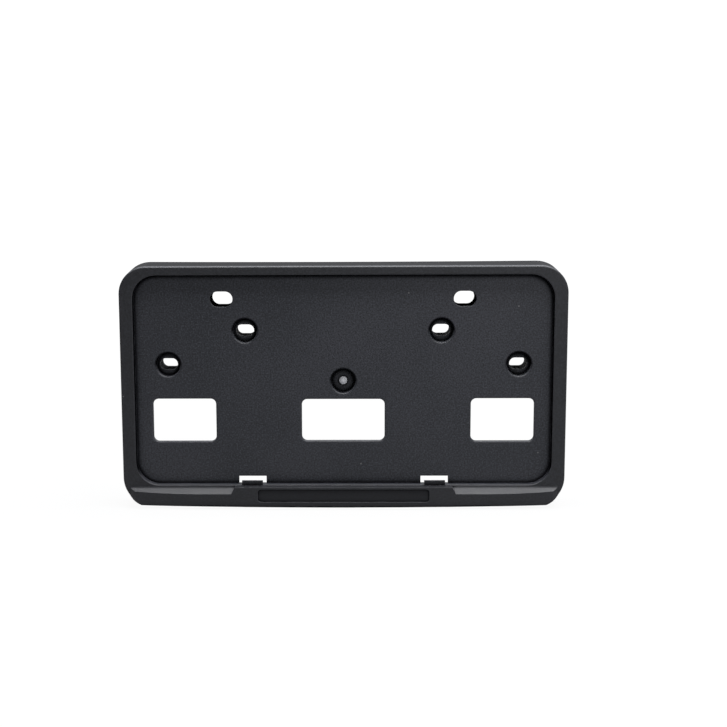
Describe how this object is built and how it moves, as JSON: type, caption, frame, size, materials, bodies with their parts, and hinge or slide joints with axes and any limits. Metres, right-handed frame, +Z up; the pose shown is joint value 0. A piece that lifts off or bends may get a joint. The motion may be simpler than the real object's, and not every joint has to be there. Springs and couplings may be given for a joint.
{
  "type": "number plate holder",
  "caption": "Moulded front number plate holder with a recess for the plate, slotted screw holes, windows and a proud bottom rail.",
  "frame": {"origin": "midway between the two upper bumper screw slots, on the plane where their bosses meet the bumper", "axes": "+X across the car along the plate's length, +Z up, -Y out of the front face towards whoever reads the plate"},
  "size_m": [0.3292, 0.0347, 0.1811],
  "materials": {
    "moulded_plastic": "fine moulded grain, black"
  },
  "bodies": {
    "root": {"holder": "moulded_plastic"}
  },
  "joints": []
}
